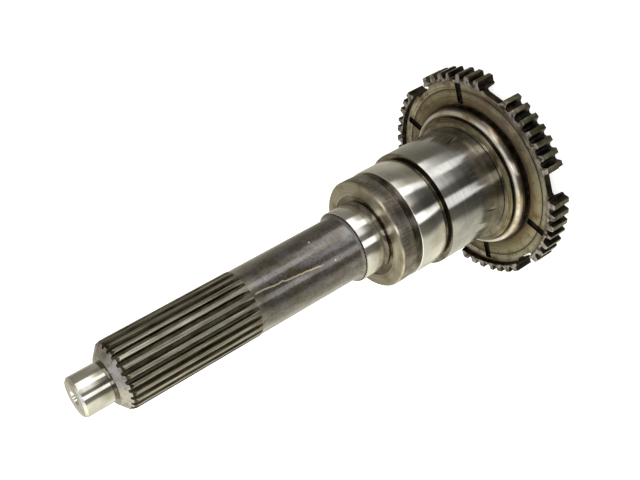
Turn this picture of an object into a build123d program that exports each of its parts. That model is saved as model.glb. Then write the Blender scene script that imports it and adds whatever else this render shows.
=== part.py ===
from build123d import *
from math import cos, radians, sin, tan
import os

os.makedirs("parts", exist_ok=True)

# Input shaft of a heavy transmission. It stands on the rear face of its toothed flange, the
# pilot journal at the top. Heights run up from the rear face of the rim, all sizes in mm.

# Toothed rim
rim_width = 16.7
tooth_tip_radius = 87.2
tooth_height = 5.0
tooth_places = 54
group_count = 6
teeth_per_group = 7
first_group_angle = 3.0
gullet_root_width = 3.2
gullet_mouth_width = 6.2
gullet_corner_chamfer = 1.0
tooth_edge_chamfer = 0.6

# The gullet in line with a slot is cut wider on both flanks
wide_gullet_extra = 2.9

# Gaps between the groups, cut through the rim and into the web, below the tooth roots
gap_depth = 4.8
gap_half_angle = 6.9
gap_corner_radius = 3.0

# Web between hub and rim, recessed on both faces of the flange
rear_recess_depth = 6.9
front_recess_depth = 3.95
rim_wall = 1.6
recess_draft = 1.1

# Slots through the web, in line with the wide gullets
slot_width = 6.1
slot_hub_gap = 0.6
slot_rim_gap = 1.5
slot_corner_radius = 1.0
slot_angles = (60.0, 120.0, 240.0, 300.0)

# Hub on the front of the web
hub_foot_radius = 60.2
hub_foot_height = 0.85
hub_radius = 59.0
hub_height = 9.85
hub_rounding_reach = 5.2
hub_rounding_height = 5.4
hub_groove_width = 1.6
hub_groove_radius = 51.6
guide_ring_radius = 53.2
guide_ring_width = 0.8
guide_cone_height = 1.7
guide_cone_radius = 50.0

# Hub and bearing pocket on the rear, the side the photograph does not show
hub_rear_setback = 1.5
pocket_radius = 31.0
pocket_depth = 34.0
pocket_chamfer = 1.5

# Main bearing journal
main_journal_radius = 46.7
main_journal_length = 54.9
main_undercut_radius = 46.1
main_undercut_width = 0.8

# Groove and second journal
journal_groove_radius = 41.2
journal_groove_width = 4.7
second_journal_radius = 43.9
second_journal_length = 23.4
second_journal_chamfer = 0.4

# Collar in front of the second journal
collar_groove_radius = 43.0
collar_groove_width = 6.2
collar_groove_slope = 0.6
collar_rear_band_radius = 43.4
collar_rear_band_length = 3.9
collar_radius = 43.6
collar_length = 7.8
collar_edge_radius = 42.7
collar_edge_length = 1.2
collar_face_radius = 33.1
collar_face_rise = 0.7

# Seal land
land_relief_depth = 0.9
land_undercut_radius = 27.8
land_undercut_width = 1.3
land_radius = 28.4
land_length = 20.4
land_step_radius = 27.1
land_step_length = 0.6
land_run_in_length = 1.1

# Plain shaft, then the splined length
shaft_radius = 25.05
shaft_length = 89.9
shaft_taper_length = 1.5
spline_radius = 25.4
spline_root_radius = 23.1
spline_count = 24
spline_first_angle = 10.9
spline_groove_width = 3.8
spline_groove_root_width = 2.1
spline_length = 102.8
cutter_radius = 29.0
cutter_sweep = 38.0

# Lead-in cone at the free end of the spline
cone_round_length = 3.1
cone_round_radius = 24.7
cone_length = 5.7
cone_top_radius = 18.0

# Pilot journal with its centre hole
pilot_undercut_radius = 14.1
pilot_undercut_width = 2.2
pilot_radius = 14.8
pilot_length = 19.6
pilot_chamfer_length = 1.7
pilot_end_radius = 13.2
centre_hole_radius = 3.2
centre_hole_depth = 9.0
centre_cone_radius = 5.6
centre_cone_depth = 4.2

# Amount by which a cut runs past the face it opens in
past = 2.0

# Radii of the flange, each from the one outside it
tooth_root_radius = tooth_tip_radius - tooth_height
gap_floor_radius = tooth_root_radius - gap_depth
recess_lip_radius = tooth_root_radius - rim_wall
recess_foot_radius = recess_lip_radius - recess_draft
slot_outer_radius = recess_foot_radius - slot_rim_gap
slot_inner_radius = hub_foot_radius + slot_hub_gap

# Heights, each from the one below
web_rear_height = rear_recess_depth
web_height = rim_width - front_recess_depth
hub_foot_top = web_height + hub_foot_height
hub_top = web_height + hub_height
guide_bottom = hub_top + hub_groove_width
guide_edge = guide_bottom + guide_ring_width
guide_top = guide_edge + guide_cone_height
main_bottom = guide_top + main_undercut_width
main_top = main_bottom + main_journal_length
second_bottom = main_top + journal_groove_width
second_top = second_bottom + second_journal_length
collar_bottom = second_top + collar_groove_width
collar_band_top = collar_bottom + collar_rear_band_length
collar_edge = collar_band_top + collar_length
collar_face_edge = collar_edge + collar_edge_length
collar_face_top = collar_face_edge + collar_face_rise
land_relief_floor = collar_face_top - land_relief_depth
land_bottom = land_relief_floor + land_undercut_width
land_top = land_bottom + land_length
land_step_top = land_top + land_step_length
shaft_bottom = land_step_top + land_run_in_length
shaft_top = shaft_bottom + shaft_length
spline_bottom = shaft_top + shaft_taper_length
spline_top = spline_bottom + spline_length - cone_round_length
cone_bottom = spline_top + cone_round_length
cone_top = cone_bottom + cone_length
pilot_bottom = cone_top + pilot_undercut_width
pilot_edge = pilot_bottom + pilot_length
pilot_top = pilot_edge + pilot_chamfer_length

# The cutter's own axis lies across the shaft, one cutter radius above the groove floor
cutter_axis_radius = spline_root_radius + cutter_radius
runout_depth = spline_radius - spline_root_radius
runout_length = (cutter_radius**2 - (cutter_radius - runout_depth) ** 2) ** 0.5
runout_start = spline_bottom + runout_length

# One groove of the spline, cut straight up and swung out round the cutter's axis
groove_slope = (spline_groove_width - spline_groove_root_width) / (2 * runout_depth)
groove_mouth = spline_radius + past
groove_mouth_half = spline_groove_root_width / 2 + groove_slope * (groove_mouth - spline_root_radius)
groove_section = [
    (spline_root_radius, -spline_groove_root_width / 2),
    (groove_mouth, -groove_mouth_half),
    (groove_mouth, groove_mouth_half),
    (spline_root_radius, spline_groove_root_width / 2),
]
cutter_axis = Axis((cutter_axis_radius, 0, runout_start), (0, -1, 0))
with BuildPart() as spline_groove:
    with BuildSketch(Plane.XY.offset(runout_start)):
        Polygon(*groove_section, align=None)
    extrude(amount=pilot_bottom - runout_start)
    with BuildSketch(Plane.XY.offset(runout_start)):
        Polygon(*groove_section, align=None)
    revolve(axis=cutter_axis, revolution_arc=cutter_sweep)

# Cut between two teeth, in plan, with eased root corners
gullet_slope = (gullet_mouth_width - gullet_root_width) / 2 / (tooth_tip_radius - tooth_root_radius)
gullet_reach = tooth_tip_radius + past - tooth_root_radius


def gullet_outline(extra):
    root_half = (gullet_root_width + extra) / 2
    mouth_half = root_half + gullet_slope * gullet_reach
    with BuildSketch() as outline:
        Polygon(
            (tooth_root_radius, -root_half),
            (tooth_root_radius + gullet_reach, -mouth_half),
            (tooth_root_radius + gullet_reach, mouth_half),
            (tooth_root_radius, root_half),
            align=None,
        )
        chamfer(outline.vertices().group_by(Axis.X)[0], length=gullet_corner_chamfer)
    return outline.sketch


gullet = gullet_outline(0.0)
wide_gullet = gullet_outline(wide_gullet_extra)

# Gap between two groups, in plan, walls on lines through the shaft's axis
gap_reach = tooth_tip_radius + past
with BuildSketch() as gap:
    Polygon(
        (gap_floor_radius, -gap_floor_radius * tan(radians(gap_half_angle))),
        (gap_reach, -gap_reach * tan(radians(gap_half_angle))),
        (gap_reach, gap_reach * tan(radians(gap_half_angle))),
        (gap_floor_radius, gap_floor_radius * tan(radians(gap_half_angle))),
        align=None,
    )
    fillet(gap.vertices().group_by(Axis.X)[0], radius=gap_corner_radius)

# Angles of all that is cut in the rim. A group's end teeth have a flank like the others, so the
# gullets run one place past the group on both sides, into the gaps
tooth_pitch = 360 / tooth_places
group_pitch = 360 / group_count
group_angles = [first_group_angle + n * group_pitch for n in range(group_count)]
gap_angles = [angle + group_pitch / 2 for angle in group_angles]
gullet_offsets = [(n - teeth_per_group / 2) * tooth_pitch for n in range(teeth_per_group + 1)]
gullet_angles = [angle + offset for angle in group_angles for offset in gullet_offsets]
plain_angles = [a for a in gullet_angles if min(abs(a - s) for s in slot_angles) > tooth_pitch / 2]

# Half outline of the turned shaft, from the floor of the bearing pocket out and up to the pilot
pocket_floor = hub_rear_setback + pocket_depth
with BuildPart() as input_shaft:
    with BuildSketch(Plane.XZ):
        with BuildLine():
            rear = Polyline(
                (0, pocket_floor),
                (pocket_radius, pocket_floor),
                (pocket_radius, hub_rear_setback + pocket_chamfer),
                (pocket_radius + pocket_chamfer, hub_rear_setback),
                (hub_foot_radius, hub_rear_setback),
                (hub_foot_radius, web_rear_height),
                (recess_foot_radius, web_rear_height),
                (recess_lip_radius, 0),
                (tooth_tip_radius, 0),
                (tooth_tip_radius, rim_width - tooth_edge_chamfer),
                (tooth_tip_radius - tooth_edge_chamfer, rim_width),
                (recess_lip_radius, rim_width),
                (recess_foot_radius, web_height),
                (hub_foot_radius, web_height),
                (hub_foot_radius, hub_foot_top),
                (hub_radius, hub_foot_top),
                (hub_radius, hub_top - hub_rounding_height),
            )
            hub_round = EllipticalCenterArc(
                (hub_radius - hub_rounding_reach, hub_top - hub_rounding_height),
                hub_rounding_reach,
                hub_rounding_height,
                start_angle=0,
                arc_size=90,
            )
            journals = Polyline(
                hub_round @ 1,
                (hub_groove_radius, hub_top),
                (hub_groove_radius, guide_bottom),
                (guide_ring_radius, guide_bottom),
                (guide_ring_radius, guide_edge),
                (guide_cone_radius, guide_top),
                (main_undercut_radius, guide_top),
                (main_undercut_radius, main_bottom),
                (main_journal_radius, main_bottom),
                (main_journal_radius, main_top),
                (journal_groove_radius, main_top),
                (journal_groove_radius, second_bottom),
                (second_journal_radius, second_bottom),
                (second_journal_radius, second_top - second_journal_chamfer),
                (second_journal_radius - second_journal_chamfer, second_top),
                (collar_groove_radius, second_top),
                (collar_groove_radius, collar_bottom - collar_groove_slope),
                (collar_rear_band_radius, collar_bottom),
                (collar_rear_band_radius, collar_band_top),
                (collar_radius, collar_band_top),
                (collar_radius, collar_edge),
                (collar_edge_radius, collar_face_edge),
                (collar_face_radius, collar_face_top),
                (collar_face_radius, land_relief_floor),
                (land_undercut_radius, land_relief_floor),
                (land_undercut_radius, land_bottom),
                (land_radius, land_bottom),
                (land_radius, land_top),
                (land_step_radius, land_top),
                (land_step_radius, land_step_top),
                (shaft_radius, shaft_bottom),
                (shaft_radius, shaft_top),
                (spline_radius, spline_bottom),
                (spline_radius, spline_top),
                (cone_round_radius, cone_bottom),
                (cone_top_radius, cone_top),
                (pilot_undercut_radius, cone_top),
                (pilot_undercut_radius, pilot_bottom),
                (pilot_radius, pilot_bottom),
                (pilot_radius, pilot_edge),
                (pilot_end_radius, pilot_top),
                (centre_cone_radius, pilot_top),
                (centre_hole_radius, pilot_top - centre_cone_depth),
                (centre_hole_radius, pilot_top - centre_hole_depth),
                (0, pilot_top - centre_hole_depth),
                (0, pocket_floor),
            )
        make_face()
    revolve(axis=Axis.Z)

    # Spline grooves
    with PolarLocations(0, spline_count, start_angle=spline_first_angle):
        add(spline_groove.part, mode=Mode.SUBTRACT)

    # Gullets and gaps of the rim, both cut straight through
    with BuildSketch(Plane.XY.offset(-past)) as rim_cuts:
        for angle in plain_angles:
            with Locations(Rot(0, 0, angle)):
                add(gullet)
        for angle in slot_angles:
            with Locations(Rot(0, 0, angle)):
                add(wide_gullet)
        for angle in gap_angles:
            with Locations(Rot(0, 0, angle)):
                add(gap.sketch)
    extrude(amount=rim_width + 2 * past, mode=Mode.SUBTRACT)

    # Slots through the web
    slot_length = slot_outer_radius - slot_inner_radius
    slot_middle = (slot_outer_radius + slot_inner_radius) / 2
    with BuildSketch(Plane.XY.offset(web_rear_height - past)) as slots:
        for angle in slot_angles:
            middle = (slot_middle * cos(radians(angle)), slot_middle * sin(radians(angle)))
            with Locations(Location(middle, angle)):
                RectangleRounded(slot_length, slot_width, slot_corner_radius)
    extrude(amount=web_height - web_rear_height + 2 * past, mode=Mode.SUBTRACT)

input_shaft.part.label = "input_shaft"
export_step(input_shaft.part, "parts/input_shaft.step")
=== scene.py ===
import math

import bpy
from mathutils import Matrix, Vector


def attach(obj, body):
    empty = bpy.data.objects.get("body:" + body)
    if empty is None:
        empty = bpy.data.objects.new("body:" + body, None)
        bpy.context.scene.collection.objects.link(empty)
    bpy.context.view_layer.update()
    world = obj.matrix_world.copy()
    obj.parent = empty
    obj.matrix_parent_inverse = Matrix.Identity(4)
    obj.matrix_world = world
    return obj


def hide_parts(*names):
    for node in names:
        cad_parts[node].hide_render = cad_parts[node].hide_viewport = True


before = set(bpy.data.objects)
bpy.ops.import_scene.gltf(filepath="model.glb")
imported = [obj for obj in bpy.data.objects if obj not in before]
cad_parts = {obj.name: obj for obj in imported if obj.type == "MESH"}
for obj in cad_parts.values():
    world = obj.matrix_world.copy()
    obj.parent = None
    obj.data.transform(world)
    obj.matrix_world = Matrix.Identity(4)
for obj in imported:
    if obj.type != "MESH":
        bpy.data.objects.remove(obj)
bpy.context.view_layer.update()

MM = 0.001

# Heights in millimetres where one finish of the shaft gives way to the next, from the rear face up.
# One that ends a step lies a little past it, so that the step's own face counts as below it.
REAR_FACES = 2.0
WEB_FRONT = 12.75
TOOTH_FACES = 15.7
HUB_SIDE_TOP = 17.3
HUB_TOP = 22.65
GUIDE_TOP = 27.5
MAIN_TOP = 82.5
SECOND_BOTTOM = 87.1
SECOND_TOP = 110.6
COLLAR_GROOVE_TOP = 116.8
COLLAR_EDGE = 128.5
COLLAR_FACE_TOP = 130.4
LAND_CORNER = 150.7
LAND_TOP = 151.8
SPLINE_BOTTOM = 244.2
CONE_BOTTOM = 347.0
CONE_TOP = 352.8
PILOT_BOTTOM = 354.9

# Radii in millimetres that tell the finishes apart where heights don't
CENTRE_DRILL = 3.4
SHAFT = 24.7
SPLINE_OUTSIDE = 25.2
LAND = 27.9
POCKET = 32.6
LAND_RELIEF = 33.2
SECOND_JOURNAL = 43.0
GUIDE_RING = 49.9
HUB_TOP_EDGE = 54.0
HUB = 60.3
RECESS_LIP = 80.7
TOOTH_TIP = 86.4

# The share of a face's normal that a face on the spline's cone, one about square to a direction and
# one quite square to it have at least
CONE_SLOPE = 0.3
SQUARE = 0.7
QUITE_SQUARE = 0.9

# The fine ring groove turned into the web, the cutter that makes it, and the broken edges, in
# millimetres
WEB_GROOVE_INSIDE = 72.1
WEB_GROOVE_OUTSIDE = 72.7
WEB_GROOVE_DEPTH = 0.3
CUTTER_HEIGHT = 2
BROKEN_EDGE = 0.22

# Corners of loose triangles that lie this near, in millimetres, are one corner
SAME_CORNER = 0.002

# The tilt between two faces, in degrees, up to which they are one face, up to which they shade as
# one surface, and from which their edge is broken
SAME_FACE = 0.4
SMOOTH_UP_TO = 30
SHARP_EDGE = 35

# The line of dried preservative along the plain shaft: the angle round the axis where it lies, two
# heights and how far to the side it is at each, how far it sways, and how much of the steel it
# hides
SMEAR_ANGLE = math.radians(-2.5)
SMEAR_HEIGHTS = (185 * MM, 241 * MM)
SMEAR_SIDEWAYS = (-3.0 * MM, 2.9 * MM)
SMEAR_SWAY = 1.1 * MM
SMEAR_COVER = 0.7

# Where it is gone and where it is whole: out from its middle, on the side of the shaft that it lies
# on, and at its lower and its upper end
SMEAR_EDGE = (0.7 * MM, 0.35 * MM)
SMEAR_SIDE = (5 * MM, 6 * MM)
SMEAR_LOW_END = (184 * MM, 189 * MM)
SMEAR_TOP_END = (242.5 * MM, 241.5 * MM)

# A chip of the same stuff beside it, then a painted highlight drawn like a second chip, and how far
# out one is gone and where it is whole
CHIP_AND_GLINT = [(20.2 * MM, 14.8 * MM, 184.3 * MM), (24.5 * MM, -5.4 * MM, 174.8 * MM)]
CHIP_AND_GLINT_EDGE = (0.9 * MM, 0.5 * MM)

# The heights over which the skin of the plain shaft wears off towards the spline
WORN_SKIN = (234 * MM, 246 * MM)

# The side of the web that is burnt brown, the distances that way over which the brown comes in, and
# how much of the steel it covers
BURNT_SIDE = (0.85, 0.5, 0.0)
BURNT_REACH = (45 * MM, 70 * MM)
BURNT_COVER = 0.75

# Noise seldom leaves this range, so the full play of a finish's gloss lies inside it
NOISE_LOW = 0.3
NOISE_HIGH = 0.7

# How far a turned ring strays on its way round, as a share of the way
RING_STRAY = 0.02

# A quarter turn of the highlight, from along the lines round the axis to across them
ACROSS_THE_LINES = 0.25

# Tints of what stands round the shaft
TABLE = (1.0, 0.97, 0.81)
ROOM = (1.0, 0.94, 0.77)
LAMP = (1.0, 0.99, 0.96)

# Each plan of the room has for each side the angle where it starts and the light there, the angle
# where it ends and the light there, and its tint. This one is the room as the flange mirrors it
STEEP_ROOM = [
    (-180, 0.62, -153, 0.64, TABLE),
    (-146, 1.1, -72, 0.68, TABLE),
    (-61, 0.2, -35, 0.1, ROOM),
    (-31, 1.9, -17, 1.9, LAMP),
    (-13, 0.1, 4, 0.1, ROOM),
    (10, 0.21, 26, 0.2, ROOM),
    (29, 2.0, 43, 2.0, LAMP),
    (47, 0.66, 61, 0.5, ROOM),
    (67, 0.22, 85, 0.22, ROOM),
    (110, 0.4, 180, 0.62, ROOM),
]

# The room as the main journal mirrors it, steeper still, where the strip lights end and fade
STEEPEST_ROOM = [
    (-180, 0.66, -153, 0.66, TABLE),
    (-146, 1.1, -72, 0.7, TABLE),
    (-61, 0.12, -35, 0.06, ROOM),
    (-31, 1.6, -21, 1.0, LAMP),
    (-15, 0.04, 8, 0.05, ROOM),
    (12, 0.08, 28, 0.1, ROOM),
    (34, 1.2, 43, 1.3, LAMP),
    (48, 0.34, 60, 0.32, ROOM),
    (66, 0.22, 85, 0.24, ROOM),
    (110, 0.46, 180, 0.7, ROOM),
]

# The room as the pilot journal mirrors it, nearer to the ground
SHALLOW_ROOM = [
    (-180, 0.62, -150, 0.8, TABLE),
    (-140, 1.05, -63, 1.1, TABLE),
    (-54, 0.26, -35, 0.18, ROOM),
    (-30, 1.6, -16, 1.6, LAMP),
    (-12, 0.22, 1, 0.3, ROOM),
    (7, 1.25, 25, 1.35, LAMP),
    (29, 1.9, 63, 1.9, LAMP),
    (68, 0.3, 130, 0.25, ROOM),
    (150, 0.6, 180, 0.62, ROOM),
]

# The room higher up, which only shows mirrored twice, in the corner between a journal and a face
UPPER_ROOM = [
    (-180, 0.66, -165, 0.75, TABLE),
    (-140, 1.6, -72, 1.7, TABLE),
    (-61, 0.35, -35, 0.28, ROOM),
    (-31, 2.6, -17, 2.6, LAMP),
    (-13, 0.28, 4, 0.28, ROOM),
    (10, 0.4, 25, 0.4, ROOM),
    (29, 2.6, 43, 2.6, LAMP),
    (47, 0.8, 61, 0.6, ROOM),
    (67, 0.35, 100, 0.4, ROOM),
    (130, 0.5, 180, 0.62, ROOM),
]

# How far a direction climbs, from -1 straight down to 1 straight up, where each plan of the room
# takes over from the one below it, and where the white ceiling does
ROOM_STEPS = [
    (-0.578, -0.562, STEEP_ROOM),
    (-0.46, -0.28, SHALLOW_ROOM),
    (-0.02, 0.08, UPPER_ROOM),
]
CEILING = (0.75, 0.95)

# The floor's radius in metres, and the light it adds where the camera sees it, which makes it white
FLOOR_RADIUS = 30
FLOOR_GLOW = 0.78

# The camera: its place in millimetres, where it looks, what it has upwards, and its lens and film
CAMERA_PLACE = (649.74, -3.25, 505.36)
CAMERA_FORWARD = (-0.88559, 0.02227, -0.46394)
CAMERA_UPWARD = (0.24608, 0.86964, -0.42799)
CAMERA_LENS = 55.75
CAMERA_FILM = 36


def linear(code):
    """A colour written as sRGB hex, as the linear values that a shader takes."""
    parts = [int(code[n : n + 2], 16) / 255 for n in (1, 3, 5)]
    return [p / 12.92 if p <= 0.04045 else ((p + 0.055) / 1.055) ** 2.4 for p in parts] + [1.0]


def add_node(tree, kind, inputs=None, out=0, stops=(), **settings):
    """Adds a node, sets and links its inputs, and gives back the output that the next reads."""
    made = tree.nodes.new(kind)
    for name, value in settings.items():
        setattr(made, name, value)
    for n, (place, colour) in enumerate(stops):
        ramp = made.color_ramp.elements
        stop = ramp[n] if n < 2 else ramp.new(place)
        stop.position = place
        stop.color = colour
    for socket, value in (inputs or {}).items():
        if isinstance(value, bpy.types.NodeSocket):
            tree.links.new(value, made.inputs[socket])
        else:
            made.inputs[socket].default_value = value
    return None if out is None else made.outputs[out]


# Patterns over the surface. Lines that a grinding wheel or a cutter leaves lie some hundredths to
# tenths of a millimetre apart. That is too fine to show in the render, so they are drawn 0.5 to
# 1.1 mm apart, as coarse as they need to be to show.


def distance_from_axis(tree, place):
    """How far a point of the surface lies from the shaft's axis."""
    flat = add_node(tree, "ShaderNodeVectorMath", {0: place, 1: (1, 1, 0)}, operation="MULTIPLY")
    return add_node(tree, "ShaderNodeVectorMath", {0: flat}, out="Value", operation="LENGTH")


def stretched_noise(tree, place, size_mm, detail=3.0, seed=0.0):
    """Cloudy noise with its own size in millimetres along X, Y and Z."""
    settings = {
        "Vector": place,
        "Location": (seed, seed, seed),
        "Scale": [1 / (size * MM) for size in size_mm],
    }
    spread = add_node(tree, "ShaderNodeMapping", settings)
    return add_node(tree, "ShaderNodeTexNoise", {"Vector": spread, "Scale": 1.0, "Detail": detail})


def turning_lines(tree, place, pitch_mm, detail=2.0, seed=0.0):
    """Rings round the axis on a face that was turned, a little uneven on the way round."""
    straying = {"Vector": place, "Scale": (RING_STRAY, RING_STRAY, RING_STRAY)}
    stray = add_node(tree, "ShaderNodeMapping", straying)
    across = add_node(tree, "ShaderNodeCombineXYZ", {0: distance_from_axis(tree, place)})
    rings = add_node(tree, "ShaderNodeVectorMath", {0: across, 1: stray}, operation="ADD")
    return stretched_noise(tree, rings, (pitch_mm, pitch_mm, pitch_mm), detail, seed)


def laid_over(tree, under, over, pattern, low=0.0, high=1.0, most=1.0):
    """One colour over another: none of it where a pattern is low, and most where it is high."""
    under, over = [linear(tint) if isinstance(tint, str) else tint for tint in (under, over)]
    share = add_node(tree, "ShaderNodeMapRange", {0: pattern, 1: low, 2: high, 4: most})
    return add_node(
        tree, "ShaderNodeMix", {0: share, 6: under, 7: over}, out=2, data_type="RGBA"
    )


def tones_by_radius(tree, place, low_mm, high_mm, tones):
    """Colours laid out from the axis outwards, each written with its radius in millimetres."""
    radius = distance_from_axis(tree, place)
    share = add_node(tree, "ShaderNodeMapRange", {0: radius, 1: low_mm * MM, 2: high_mm * MM})
    stops = [((at - low_mm) / (high_mm - low_mm), linear(code)) for at, code in tones]
    return add_node(tree, "ShaderNodeValToRGB", {0: share}, stops=stops)


def cut_round_the_axis(tree, share):
    """Shader inputs for steel cut or ground round the axis: its highlights run across the lines."""
    lines = add_node(tree, "ShaderNodeTangent", direction_type="RADIAL", axis="Z")
    return {"Anisotropic": share, "Anisotropic Rotation": ACROSS_THE_LINES, "Tangent": lines}


def new_metal(finish):
    """A metal from what its finish gives.

    That is its colour, a pattern with the roughness at its low and its high end, a relief pattern
    with its depth in millimetres, and further shader inputs.
    """
    material = bpy.data.materials.new(finish.__name__)
    material.use_nodes = True
    tree = material.node_tree
    tree.nodes.clear()
    place = add_node(tree, "ShaderNodeTexCoord", out="Object")
    colour, (gloss, low, high), (relief, depth_mm), further = finish(tree, place)
    spread = {0: gloss, 1: NOISE_LOW, 2: NOISE_HIGH, 3: low, 4: high}
    roughness = add_node(tree, "ShaderNodeMapRange", spread)
    raised = {"Height": relief, "Strength": 1.0, "Distance": depth_mm * MM}
    normal = add_node(tree, "ShaderNodeBump", raised)
    inputs = {"Base Color": colour, "Metallic": 1.0, "Roughness": roughness, "Normal": normal}
    surface = add_node(tree, "ShaderNodeBsdfPrincipled", {**inputs, **further})
    add_node(tree, "ShaderNodeOutputMaterial", {"Surface": surface}, out=None)
    return material


# Finishes


def fine_ground_steel(tree, place):
    """Case-hardened steel, cylindrically ground: nearly a mirror, with hair-fine lines round it."""
    lines = stretched_noise(tree, place, (40, 40, 0.7))
    film = stretched_noise(tree, place, (22, 22, 16), seed=3.1)
    colour = laid_over(tree, "#d8d7d3", "#bdb8aa", film, 0.5, 0.72)
    return colour, (lines, 0.12, 0.18), (lines, 0.0008), cut_round_the_axis(tree, 0.9)


def coarse_ground_shaded_steel(tree, place):
    """The main journal: coarser ground, with lines that catch the light, and darker as painted
    shade.
    """
    lines = stretched_noise(tree, place, (30, 30, 0.5), 4.0)
    bands = stretched_noise(tree, place, (60, 60, 5), 2.0, 4.4)
    film = stretched_noise(tree, place, (14, 14, 24), seed=8.1)
    # Greys darker than the other journals': painted shade of the dark flange that this journal
    # mirrors
    lined = laid_over(tree, "#a4a4a3", "#b3b2b0", lines, 0.35, 0.65)
    colour = laid_over(tree, lined, "#cfccc0", film, 0.55, 0.75, 0.7)
    return colour, (bands, 0.12, 0.18), (lines, 0.001), cut_round_the_axis(tree, 0.95)


def turned_steel(tree, place):
    """Turned and hardened steel left as cut: grey-olive, in rings, with brown oil stains."""
    rings = turning_lines(tree, place, 0.6)
    wide_rings = turning_lines(tree, place, 3.0, 1.0, 7.0)
    clouds = stretched_noise(tree, place, (14, 14, 14), 4.0, 1.7)
    ringed = laid_over(tree, "#8a8575", "#b6b1a0", wide_rings)
    colour = laid_over(tree, ringed, "#857660", clouds, 0.5, 0.68)
    return colour, (rings, 0.24, 0.34), (rings, 0.006), cut_round_the_axis(tree, 0.9)


def oily_shaded_turned_steel(tree, place):
    """Web of the flange: turned steel, grey-olive, with painted shade towards the hub and in the
    ring groove.
    """
    rings = turning_lines(tree, place, 0.7)
    wide_rings = turning_lines(tree, place, 2.2, 1.0, 7.0)
    clouds = stretched_noise(tree, place, (11, 11, 11), 5.0, 1.7)
    spots = stretched_noise(tree, place, (2.5, 2.5, 2.5), 4.0, 3.3)
    # Tones out from the axis: 60 to 66 mm is painted shade beside the hub, 72.1 to 72.7 mm painted
    # shade in the fine ring groove
    tones = [
        (60, "#40362a"), (62.5, "#665b45"), (66, "#80775d"), (69.5, "#918c76"),
        (71.7, "#857f6b"), (72.1, "#4a4438"), (72.7, "#4a4438"), (73.2, "#9c9783"),
        (76, "#aaa592"), (79, "#938d7a"),
    ]
    tones_and_painted_shade = tones_by_radius(tree, place, 60, 80, tones)
    rusty = laid_over(tree, tones_and_painted_shade, "#6b5a43", clouds, 0.48, 0.66)
    to_side = {0: place, 1: BURNT_SIDE}
    side = add_node(tree, "ShaderNodeVectorMath", to_side, out="Value", operation="DOT_PRODUCT")
    low, high = BURNT_REACH
    brown_side = add_node(
        tree, "ShaderNodeMapRange", {0: side, 1: low, 2: high, 4: BURNT_COVER}
    )
    patches = add_node(tree, "ShaderNodeMapRange", {0: clouds, 1: 0.3, 2: 0.6})
    burnt = add_node(tree, "ShaderNodeMath", {0: brown_side, 1: patches}, operation="MULTIPLY")
    brown = laid_over(tree, rusty, "#7f6e62", burnt)
    ringed = laid_over(tree, brown, "#574d3e", wide_rings, 0.55, 0.63, 0.45)
    colour = laid_over(tree, ringed, "#5a5138", spots, 0.58, 0.72)
    return colour, (rings, 0.26, 0.38), (rings, 0.008), cut_round_the_axis(tree, 0.85)


def brown_hardened_steel(tree, place):
    """Forged shaft in its brown-black skin under a film of oil, with a dried smear, a chip and a
    painted glint.
    """
    height = add_node(tree, "ShaderNodeSeparateXYZ", {0: place}, out="Z")
    clouds = stretched_noise(tree, place, (7, 7, 14), 5.0, 2.2)
    specks = stretched_noise(tree, place, (1.7, 1.7, 2.4), 5.0, 5.0)
    lines = stretched_noise(tree, place, (25, 25, 1.1), seed=6.0)
    skin = laid_over(tree, "#6d696e", "#52483a", clouds, 0.4, 0.62)
    lined = laid_over(tree, skin, "#837f6c", lines, 0.45, 0.7, 0.3)
    mottled = laid_over(tree, lined, "#40361f", specks, 0.5, 0.64, 0.65)
    low, high = WORN_SKIN
    beside = add_node(tree, "ShaderNodeMapRange", {0: height, 1: low, 2: high})
    patches = add_node(tree, "ShaderNodeMapRange", {0: clouds, 1: 0.62, 2: 0.42})
    worn = add_node(tree, "ShaderNodeMath", {0: beside, 1: patches}, operation="MULTIPLY")
    steel = laid_over(tree, mottled, "#94907f", worn)
    # The film mask also holds a painted highlight, a glint, drawn cream and not metallic like the
    # chip
    film = dried_film_and_glint(tree, place, height)
    colour = laid_over(tree, steel, "#d6ccae", film)
    further = {
        "Metallic": add_node(tree, "ShaderNodeMapRange", {0: film, 3: 1.0, 4: 0.0}),
        "Coat Weight": 1.0,
        "Coat Roughness": 0.1,
        "Coat IOR": 1.7,
    }
    return colour, (clouds, 0.3, 0.42), (specks, 0.008), further


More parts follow.
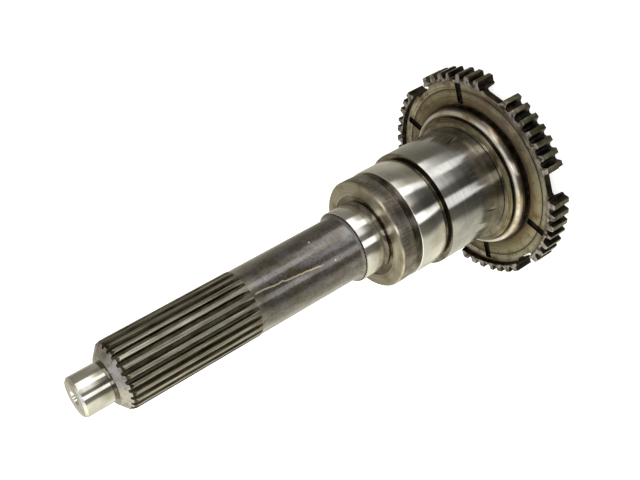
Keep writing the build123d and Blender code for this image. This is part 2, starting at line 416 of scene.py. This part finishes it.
def dried_film_and_glint(tree, place, height):
    """1 on the thin wavy line of dried preservative along the shaft, a chip beside it and a painted
    glint.
    """
    along, across = math.cos(SMEAR_ANGLE), math.sin(SMEAR_ANGLE)
    to_side = {0: place, 1: (-across, along, 0.0)}
    side = add_node(tree, "ShaderNodeVectorMath", to_side, out="Value", operation="DOT_PRODUCT")
    to_front = {0: place, 1: (along, across, 0.0)}
    front = add_node(tree, "ShaderNodeVectorMath", to_front, out="Value", operation="DOT_PRODUCT")
    wave = stretched_noise(tree, place, (500, 500, 7), seed=12.0)
    (bottom, top), (first, last) = SMEAR_HEIGHTS, SMEAR_SIDEWAYS
    drifting = {0: height, 1: bottom, 2: top, 3: first, 4: last}
    drift = add_node(tree, "ShaderNodeMapRange", drifting)
    swaying = {0: wave, 1: 0.2, 2: 0.8, 3: -SMEAR_SWAY, 4: SMEAR_SWAY}
    sway = add_node(tree, "ShaderNodeMapRange", swaying)
    middle = add_node(tree, "ShaderNodeMath", {0: drift, 1: sway}, operation="ADD")
    apart = add_node(tree, "ShaderNodeMath", {0: side, 1: middle}, operation="SUBTRACT")
    apart = add_node(tree, "ShaderNodeMath", {0: apart}, operation="ABSOLUTE")
    gone, whole = SMEAR_EDGE
    mask = add_node(tree, "ShaderNodeMapRange", {0: apart, 1: gone, 2: whole, 4: SMEAR_COVER})
    limits = ((front, SMEAR_SIDE), (height, SMEAR_LOW_END), (height, SMEAR_TOP_END))
    for length, (gone, whole) in limits:
        limit = add_node(tree, "ShaderNodeMapRange", {0: length, 1: gone, 2: whole})
        mask = add_node(tree, "ShaderNodeMath", {0: mask, 1: limit}, operation="MULTIPLY")
    gone, whole = CHIP_AND_GLINT_EDGE
    # The second place is a painted highlight, a glint, and no chip
    for dab in CHIP_AND_GLINT:
        ends = {0: place, 1: dab}
        reach = add_node(tree, "ShaderNodeVectorMath", ends, out="Value", operation="DISTANCE")
        spot = add_node(tree, "ShaderNodeMapRange", {0: reach, 1: gone, 2: whole})
        mask = add_node(tree, "ShaderNodeMath", {0: mask, 1: spot}, operation="MAXIMUM")
    return mask


def milled_spline_steel(tree, place):
    """Outsides of the spline teeth: milled, hardened, grey-brown; pale lines along them, partly
    painted highlight.
    """
    lines = stretched_noise(tree, place, (0.6, 0.6, 30))
    clouds = stretched_noise(tree, place, (8, 8, 20), seed=4.0)
    base = laid_over(tree, "#89867a", "#6c6758", clouds, 0.35, 0.65)
    # The pale lines are partly milling marks and partly a painted highlight for the bright edges of
    # the teeth
    colour = laid_over(tree, base, "#cbc5bb", lines, 0.5, 0.66, 0.8)
    return colour, (lines, 0.38, 0.48), (lines, 0.006), {}


def bright_cone_steel(tree, place):
    """Cone that leads into the spline: finely turned, bright lilac-grey, with stray brown spots."""
    rings = turning_lines(tree, place, 0.5, seed=5.5)
    clouds = stretched_noise(tree, place, (4, 4, 4), seed=2.5)
    colour = laid_over(tree, "#a29e9a", "#7d7566", clouds, 0.5, 0.7)
    return colour, (rings, 0.2, 0.3), (rings, 0.003), cut_round_the_axis(tree, 0.6)


def spline_groove_steel(tree, place):
    """Flanks and floors of the spline: as cut and dull, with colours darker as painted shade in the
    grooves.
    """
    lines = stretched_noise(tree, place, (0.7, 0.7, 30), seed=3.0)
    clouds = stretched_noise(tree, place, (5, 5, 12), 4.0, 6.0)
    # The dark olive-browns are painted shade in the spline's grooves
    colour = laid_over(tree, "#4f4b3f", "#332d20", clouds, 0.4, 0.62)
    return colour, (lines, 0.3, 0.45), (lines, 0.006), {}


def scale_and_shade_steel(tree, place):
    """Nearly black with brown clouds between teeth, in slots and corners: scale and oil, and
    painted shade.
    """
    clouds = stretched_noise(tree, place, (5, 5, 7), 4.0, 6.0)
    # The near-black is partly scale and oil and partly painted shade in these hollows
    colour = laid_over(tree, "#1f1c18", "#3b3429", clouds, 0.4, 0.65)
    return colour, (clouds, 0.32, 0.5), (clouds, 0.02), {}


def dark_groove_steel(tree, place):
    """Turned groove under the collar: darker steel than the collar round it, dull in patches."""
    lines = stretched_noise(tree, place, (20, 20, 0.6), seed=2.0)
    clouds = stretched_noise(tree, place, (9, 9, 5), 4.0, 7.0)
    colour = laid_over(tree, "#5e5953", "#3d342a", clouds, 0.35, 0.62)
    return colour, (lines, 0.2, 0.32), (lines, 0.004), cut_round_the_axis(tree, 0.5)


def smooth_oiled_steel(tree, place):
    """Faces and reliefs set back between the journals: turned, smooth and oily, so they mirror."""
    lines = turning_lines(tree, place, 0.5, seed=6.0)
    clouds = stretched_noise(tree, place, (10, 10, 10), seed=7.7)
    colour = laid_over(tree, "#8f8a7e", "#6a6255", clouds, 0.35, 0.62)
    return colour, (clouds, 0.1, 0.18), (lines, 0.002), cut_round_the_axis(tree, 0.8)


def tooth_land_steel(tree, place):
    """Top lands of the teeth: turned and hardened, dark olive, with fine marks round the rim."""
    lines = stretched_noise(tree, place, (30, 30, 0.8), seed=2.0)
    clouds = stretched_noise(tree, place, (5, 5, 5), seed=8.0)
    colour = laid_over(tree, "#716d5c", "#55503d", clouds, 0.38, 0.62)
    return colour, (lines, 0.3, 0.45), (lines, 0.008), {}


def tooth_face_steel(tree, place):
    """Front faces of the teeth: turned steel, lilac-grey, with a dark spot of oil on most."""
    rings = turning_lines(tree, place, 0.8, seed=4.0)
    clouds = stretched_noise(tree, place, (3.5, 3.5, 3.5), seed=9.0)
    colour = laid_over(tree, "#a49f9d", "#514a40", clouds, 0.42, 0.6)
    return colour, (rings, 0.28, 0.4), (rings, 0.006), {}


def scored_steel(tree, place):
    """Outside of the collar: brown-grey, with fine pale lilac streaks along the shaft."""
    streaks = stretched_noise(tree, place, (1.2, 1.2, 16), 4.0, 1.0)
    lines = stretched_noise(tree, place, (30, 30, 0.9), seed=5.0)
    clouds = stretched_noise(tree, place, (9, 9, 6), 4.0, 3.0)
    base = laid_over(tree, "#85817a", "#6e6556", clouds, 0.4, 0.62)
    lined = laid_over(tree, base, "#595242", lines, 0.45, 0.7, 0.5)
    scored = laid_over(tree, lined, "#4a4031", streaks, 0.46, 0.34, 0.6)
    colour = laid_over(tree, scored, "#aea9ae", streaks, 0.55, 0.72, 0.45)
    return colour, (clouds, 0.34, 0.44), (streaks, 0.004), cut_round_the_axis(tree, 0.2)


def tempered_highlit_steel(tree, place):
    """Hub rounding beside the main journal: violet temper colours and a painted highlight, a cream
    band.
    """
    rings = turning_lines(tree, place, 0.6, seed=2.0)
    clouds = stretched_noise(tree, place, (15, 15, 15), seed=5.0)
    # Violet temper bands at 54.6 and 57.8 mm; the cream from 55.4 to 57 mm is a painted highlight,
    # with darker ends
    tones = [
        (54, "#4a4239"), (54.6, "#837e8b"), (55.4, "#cdc8b8"),
        (57, "#d3cebc"), (57.8, "#8d8694"), (58.6, "#6c6353"),
    ]
    bright = tones_by_radius(tree, place, 53, 59, tones)
    colour = laid_over(tree, bright, "#8c7c62", clouds, 0.45, 0.7)
    return colour, (rings, 0.18, 0.28), (rings, 0.004), cut_round_the_axis(tree, 0.85)


def brown_oiled_steel(tree, place):
    """Top of the hub and its guide ring: turned steel under brown oil, bright in thin rings."""
    rings = turning_lines(tree, place, 0.5, seed=3.0)
    clouds = stretched_noise(tree, place, (12, 12, 12), seed=9.0)
    oil = laid_over(tree, "#706950", "#453b2a", clouds, 0.35, 0.65)
    colour = laid_over(tree, oil, "#a59e86", rings, 0.52, 0.7, 0.7)
    return colour, (rings, 0.2, 0.32), (rings, 0.005), cut_round_the_axis(tree, 0.85)


FINISHES = [
    fine_ground_steel,
    coarse_ground_shaded_steel,
    turned_steel,
    oily_shaded_turned_steel,
    brown_hardened_steel,
    milled_spline_steel,
    bright_cone_steel,
    spline_groove_steel,
    scale_and_shade_steel,
    dark_groove_steel,
    smooth_oiled_steel,
    tooth_land_steel,
    tooth_face_steel,
    scored_steel,
    tempered_highlit_steel,
    brown_oiled_steel,
]


def flange_finish(height, radius, normal):
    """The finish of a face on the toothed flange and the hub."""
    if radius > RECESS_LIP:
        if normal.z > SQUARE and height > TOOTH_FACES:
            return tooth_face_steel
        if radius > TOOTH_TIP and math.hypot(normal.x, normal.y) > SQUARE:
            return tooth_land_steel
        return turned_steel if normal.z < -SQUARE else scale_and_shade_steel
    if radius > HUB:
        return oily_shaded_turned_steel if abs(normal.z) > SQUARE else scale_and_shade_steel
    if radius < POCKET:
        return fine_ground_steel
    if height < REAR_FACES:
        return turned_steel
    if height < HUB_SIDE_TOP:
        return scale_and_shade_steel if height > WEB_FRONT else oily_shaded_turned_steel
    return tempered_highlit_steel if radius > HUB_TOP_EDGE else brown_oiled_steel


def shaft_finish(height, radius, normal):
    """The finish of a face above the hub."""
    if height < GUIDE_TOP:
        return brown_oiled_steel if radius > GUIDE_RING else smooth_oiled_steel
    if height < MAIN_TOP:
        return smooth_oiled_steel if normal.z > QUITE_SQUARE else coarse_ground_shaded_steel
    if height < SECOND_BOTTOM:
        return smooth_oiled_steel
    if height < SECOND_TOP:
        ground = radius > SECOND_JOURNAL or normal.z > 0
        return fine_ground_steel if ground else smooth_oiled_steel
    if height < COLLAR_GROOVE_TOP:
        return dark_groove_steel
    if height < COLLAR_EDGE and radius > LAND_RELIEF:
        return scored_steel
    if height < COLLAR_FACE_TOP:
        return turned_steel if radius > LAND_RELIEF else smooth_oiled_steel
    if height < LAND_TOP:
        if radius > LAND:
            return fine_ground_steel
        # The step at the foot of the land is nearly black: painted shade in the corner
        return scale_and_shade_steel if height > LAND_CORNER else smooth_oiled_steel
    if height < SPLINE_BOTTOM:
        return brown_hardened_steel if radius > SHAFT else spline_groove_steel
    if height < PILOT_BOTTOM:
        if height > CONE_TOP:
            return smooth_oiled_steel
        if height > CONE_BOTTOM and normal.z > CONE_SLOPE:
            return bright_cone_steel
        return milled_spline_steel if radius > SPLINE_OUTSIDE else spline_groove_steel
    # The bottom of the centre drill is nearly black: painted shade in the hole
    return fine_ground_steel if radius > CENTRE_DRILL else scale_and_shade_steel


def finish_of(face, vertices):
    """The finish of one face, from where it lies and the way it looks."""
    corners = [vertices[v].co / MM for v in face.vertices]
    height = sum(c.z for c in corners) / len(corners)
    radius = sum(math.hypot(c.x, c.y) for c in corners) / len(corners)
    choose = flange_finish if height < HUB_TOP else shaft_finish
    return choose(height, radius, face.normal)


def ring_cutter():
    """A thin ring that turns the fine groove into the web."""
    bpy.ops.object.select_all(action="DESELECT")
    bpy.ops.mesh.primitive_circle_add(
        vertices=240, radius=WEB_GROOVE_INSIDE * MM, fill_type="NOTHING"
    )
    cutter = bpy.context.object
    bpy.ops.object.mode_set(mode="EDIT")
    bpy.ops.mesh.select_all(action="SELECT")
    bpy.ops.mesh.extrude_region_move()
    grow = WEB_GROOVE_OUTSIDE / WEB_GROOVE_INSIDE
    bpy.ops.transform.resize(value=(grow, grow, 1), center_override=(0, 0, 0))
    bpy.ops.mesh.select_all(action="SELECT")
    up = {"value": (0, 0, CUTTER_HEIGHT * MM)}
    bpy.ops.mesh.extrude_region_move(TRANSFORM_OT_translate=up)
    bpy.ops.mesh.select_all(action="SELECT")
    bpy.ops.mesh.normals_make_consistent(inside=False)
    bpy.ops.object.mode_set(mode="OBJECT")
    cutter.location.z = (WEB_FRONT - WEB_GROOVE_DEPTH) * MM
    return cutter


def put_in_order(mesh):
    """Lays a mesh's corners and faces out in a fixed order, since a cut leaves them in any order.

    Without it, what dissolves and bevels them gives a slightly different shape each run.
    """
    found = [tuple(vertex.co) for vertex in mesh.vertices]
    corners = sorted(set(found))
    number = {corner: n for n, corner in enumerate(corners)}
    faces = []
    for face in mesh.polygons:
        loop = [number[found[v]] for v in face.vertices]
        first = loop.index(min(loop))
        faces.append(loop[first:] + loop[:first])
    mesh.clear_geometry()
    mesh.from_pydata(corners, [], sorted(faces))


def finished_shaft():
    """The shaft itself: the part's form as one closed skin, each machined face in its finish."""
    cutter = ring_cutter()
    bpy.ops.object.select_all(action="DESELECT")
    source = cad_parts["input_shaft"]
    shaft = source.copy()
    shaft.data = source.data.copy()
    shaft.name = "finished_shaft"
    shaft.parent = None
    for key in list(shaft.keys()):
        del shaft[key]
    bpy.context.scene.collection.objects.link(shaft)
    bpy.context.view_layer.objects.active = shaft
    shaft.select_set(True)
    bpy.ops.object.mode_set(mode="EDIT")
    bpy.ops.mesh.customdata_custom_splitnormals_clear()
    bpy.ops.mesh.select_all(action="SELECT")
    bpy.ops.mesh.remove_doubles(threshold=SAME_CORNER * MM)
    bpy.ops.object.mode_set(mode="OBJECT")
    groove = shaft.modifiers.new("web_groove", "BOOLEAN")
    groove.operation = "DIFFERENCE"
    groove.solver = "EXACT"
    groove.object = cutter
    bpy.ops.object.modifier_apply(modifier=groove.name)
    bpy.data.objects.remove(cutter)
    put_in_order(shaft.data)
    shaft.data.materials.clear()
    for finish in FINISHES:
        shaft.data.materials.append(new_metal(finish))
    for face in shaft.data.polygons:
        face.material_index = FINISHES.index(finish_of(face, shaft.data.vertices))
    bpy.ops.object.mode_set(mode="EDIT")
    bpy.ops.mesh.select_all(action="SELECT")
    bpy.ops.mesh.dissolve_limited(angle_limit=math.radians(SAME_FACE), delimit={"MATERIAL"})
    bpy.ops.object.mode_set(mode="OBJECT")
    bevel = shaft.modifiers.new("broken_edges", "BEVEL")
    bevel.width = BROKEN_EDGE * MM
    bevel.segments = 2
    bevel.limit_method = "ANGLE"
    bevel.angle_limit = math.radians(SHARP_EDGE)
    bpy.ops.object.modifier_apply(modifier=bevel.name)
    bpy.ops.object.shade_smooth_by_angle(angle=math.radians(SMOOTH_UP_TO))
    return shaft


# Studio


def room_walls(tree, share, room):
    """Light that comes from each side of the room, by its angle round the shaft."""
    stops = []
    for start, first, end, last, tint in room:
        for angle, level in ((start, first), (end, last)):
            stops.append(((angle + 180) / 360, (*[level * part for part in tint], 1.0)))
    return add_node(tree, "ShaderNodeValToRGB", {0: share}, stops=stops)


def studio_world():
    """A dim grey room with two strip lights on one side and a cream table on the other.

    Each part of the shaft mirrors the room at its own steepness, so the room has four heights and
    a white ceiling. The camera sees white all round.
    """
    world = bpy.data.worlds.new("studio")
    bpy.context.scene.world = world
    world.use_nodes = True
    tree = world.node_tree
    tree.nodes.clear()
    direction = add_node(tree, "ShaderNodeTexCoord", out="Generated")
    east, north, up = [
        add_node(tree, "ShaderNodeSeparateXYZ", {0: direction}, out=axis) for axis in "XYZ"
    ]
    turn = add_node(tree, "ShaderNodeMath", {0: north, 1: east}, operation="ARCTAN2")
    share = add_node(tree, "ShaderNodeMapRange", {0: turn, 1: -math.pi, 2: math.pi})
    light = room_walls(tree, share, STEEPEST_ROOM)
    for low, high, room in ROOM_STEPS:
        light = laid_over(tree, light, room_walls(tree, share, room), up, low, high)
    light = laid_over(tree, light, "#ffffff", up, *CEILING)
    seen = add_node(tree, "ShaderNodeLightPath", out="Is Camera Ray")
    shown = laid_over(tree, light, "#ffffff", seen)
    sky = add_node(tree, "ShaderNodeBackground", {"Color": shown, "Strength": 1.0})
    add_node(tree, "ShaderNodeOutputWorld", {"Surface": sky}, out=None)


def studio_floor():
    """A wide pale floor under the rear face, white to the camera, that keeps the shaft's shadow.

    Metal is lit as if it weren't there: it would hide the lower part of the room that the journals
    mirror, and so it neither shows in them nor blocks the light from below.
    """
    bpy.ops.object.select_all(action="DESELECT")
    bpy.ops.mesh.primitive_circle_add(vertices=64, radius=FLOOR_RADIUS, fill_type="NGON")
    floor = bpy.context.object
    floor.name = "floor"
    floor.visible_glossy = False
    floor.visible_shadow = False
    material = bpy.data.materials.new("pale_floor")
    material.use_nodes = True
    tree = material.node_tree
    tree.nodes.clear()
    matt = add_node(tree, "ShaderNodeBsdfDiffuse", {"Color": linear("#e8e8e8")})
    seen = add_node(tree, "ShaderNodeLightPath", out="Is Camera Ray")
    level = add_node(tree, "ShaderNodeMath", {0: seen, 1: FLOOR_GLOW}, operation="MULTIPLY")
    glow = add_node(tree, "ShaderNodeEmission", {"Color": (1, 1, 1, 1), "Strength": level})
    both = add_node(tree, "ShaderNodeAddShader", {0: matt, 1: glow})
    add_node(tree, "ShaderNodeOutputMaterial", {"Surface": both}, out=None)
    floor.data.materials.append(material)


def photo_camera():
    """The camera beside the shaft, turned so that the shaft lies across the picture."""
    forward = Vector(CAMERA_FORWARD)
    side = forward.cross(Vector(CAMERA_UPWARD)).normalized()
    upward = side.cross(forward)
    lens = bpy.data.cameras.new("camera")
    lens.sensor_width = CAMERA_FILM
    lens.lens = CAMERA_LENS
    lens.clip_start = 0.01
    lens.clip_end = 100
    camera = bpy.data.objects.new("camera", lens)
    turned = Matrix((side, upward, -forward)).transposed()
    camera.matrix_world = Matrix.Translation(Vector(CAMERA_PLACE) * MM) @ turned.to_4x4()
    bpy.context.scene.collection.objects.link(camera)
    bpy.context.scene.camera = camera


shaft = finished_shaft()
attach(shaft, "root")
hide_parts("input_shaft")

studio_world()
studio_floor()
photo_camera()
bpy.context.scene.view_settings.view_transform = "Standard"
